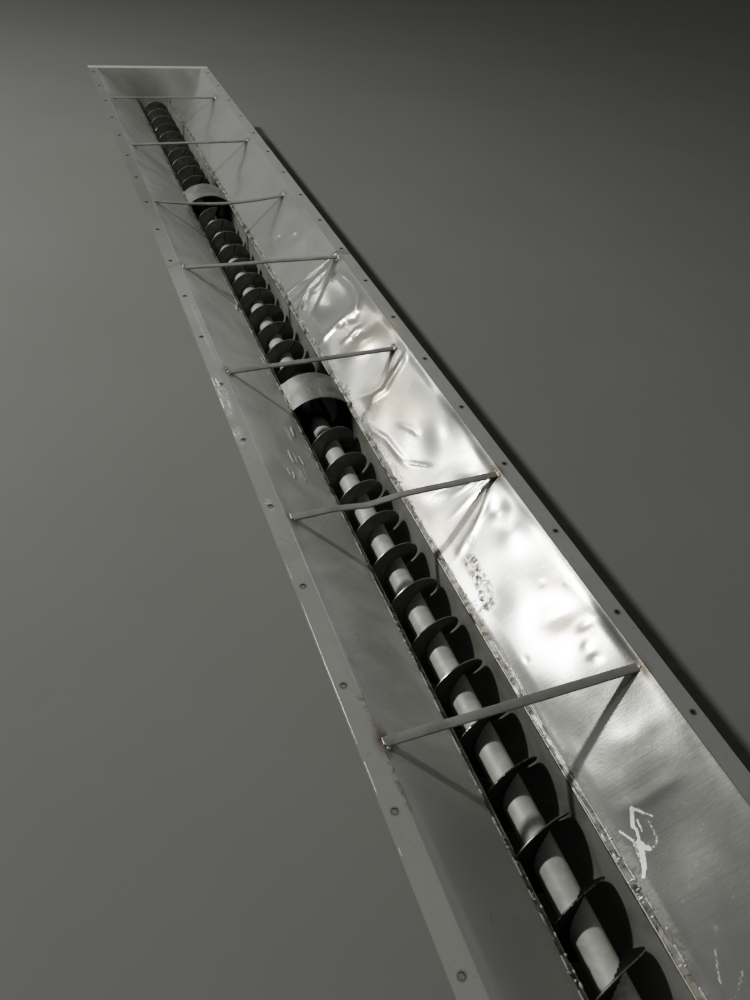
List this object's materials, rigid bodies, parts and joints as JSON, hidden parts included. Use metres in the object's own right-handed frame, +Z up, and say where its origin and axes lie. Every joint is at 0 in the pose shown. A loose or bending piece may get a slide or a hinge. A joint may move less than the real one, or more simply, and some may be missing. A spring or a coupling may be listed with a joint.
{
  "type": "open-topped screw conveyor",
  "caption": "Long open screw conveyor: a flared sheet-steel hopper with flat rims over a U trough, tie bars, arched covers and a turning screw.",
  "frame": {"origin": "on the floor, under the middle of the conveyor's length and width", "axes": "+X to the right seen from the near end, +Y along the screw to the far end, +Z up"},
  "size_m": [0.667, 5.096, 0.356],
  "materials": {
    "slope_sheet": "bare rolled sheet, scuffed and dented",
    "trough_sheet": "bare sheet, dull and dusty inside",
    "bar_steel": "mill-scale flat bar with light rust at the welds",
    "cover_sheet": "dull bare sheet",
    "bearing_iron": "dark painted casting",
    "saddle_steel": "dull plate",
    "pipe_steel": "light grey, matt",
    "shaft_steel": "turned bar",
    "flight_steel": "black plate with a worn bright edge"
  },
  "bodies": {
    "frame": {"trough_near": "trough_sheet", "trough_middle": "trough_sheet", "trough_far": "trough_sheet", "slope_left_near": "slope_sheet", "slope_left_far": "slope_sheet", "slope_right_near": "slope_sheet", "slope_right_far": "slope_sheet", "end_plate_near": "slope_sheet", "end_plate_far": "slope_sheet", "tie_bar_1": "bar_steel", "tie_bar_2": "bar_steel", "tie_bar_3": "bar_steel", "tie_bar_4": "bar_steel", "tie_bar_5": "bar_steel", "tie_bar_6": "bar_steel", "tie_bar_7": "bar_steel", "arched_cover_near": "cover_sheet", "arched_cover_far": "cover_sheet", "hanger_bearing_near": "bearing_iron", "hanger_bearing_far": "bearing_iron", "end_bearing_near": "bearing_iron", "end_bearing_far": "bearing_iron", "saddle_1": "saddle_steel", "saddle_2": "saddle_steel", "saddle_3": "saddle_steel", "saddle_4": "saddle_steel"},
    "screw": {"shaft_pipe_near": "pipe_steel", "shaft_pipe_middle": "pipe_steel", "shaft_pipe_far": "pipe_steel", "hanger_journal_near": "shaft_steel", "hanger_journal_far": "shaft_steel", "stub_shaft_near": "shaft_steel", "stub_shaft_far": "shaft_steel", "flight_near": "flight_steel", "flight_middle": "flight_steel", "flight_far": "flight_steel"}
  },
  "joints": [
    {"name": "screw_turn", "type": "hinge", "parent": "frame", "child": "screw", "pos_m": [0, 0, 0.12], "axis": [0, 1, 0], "continuous": true}
  ]
}
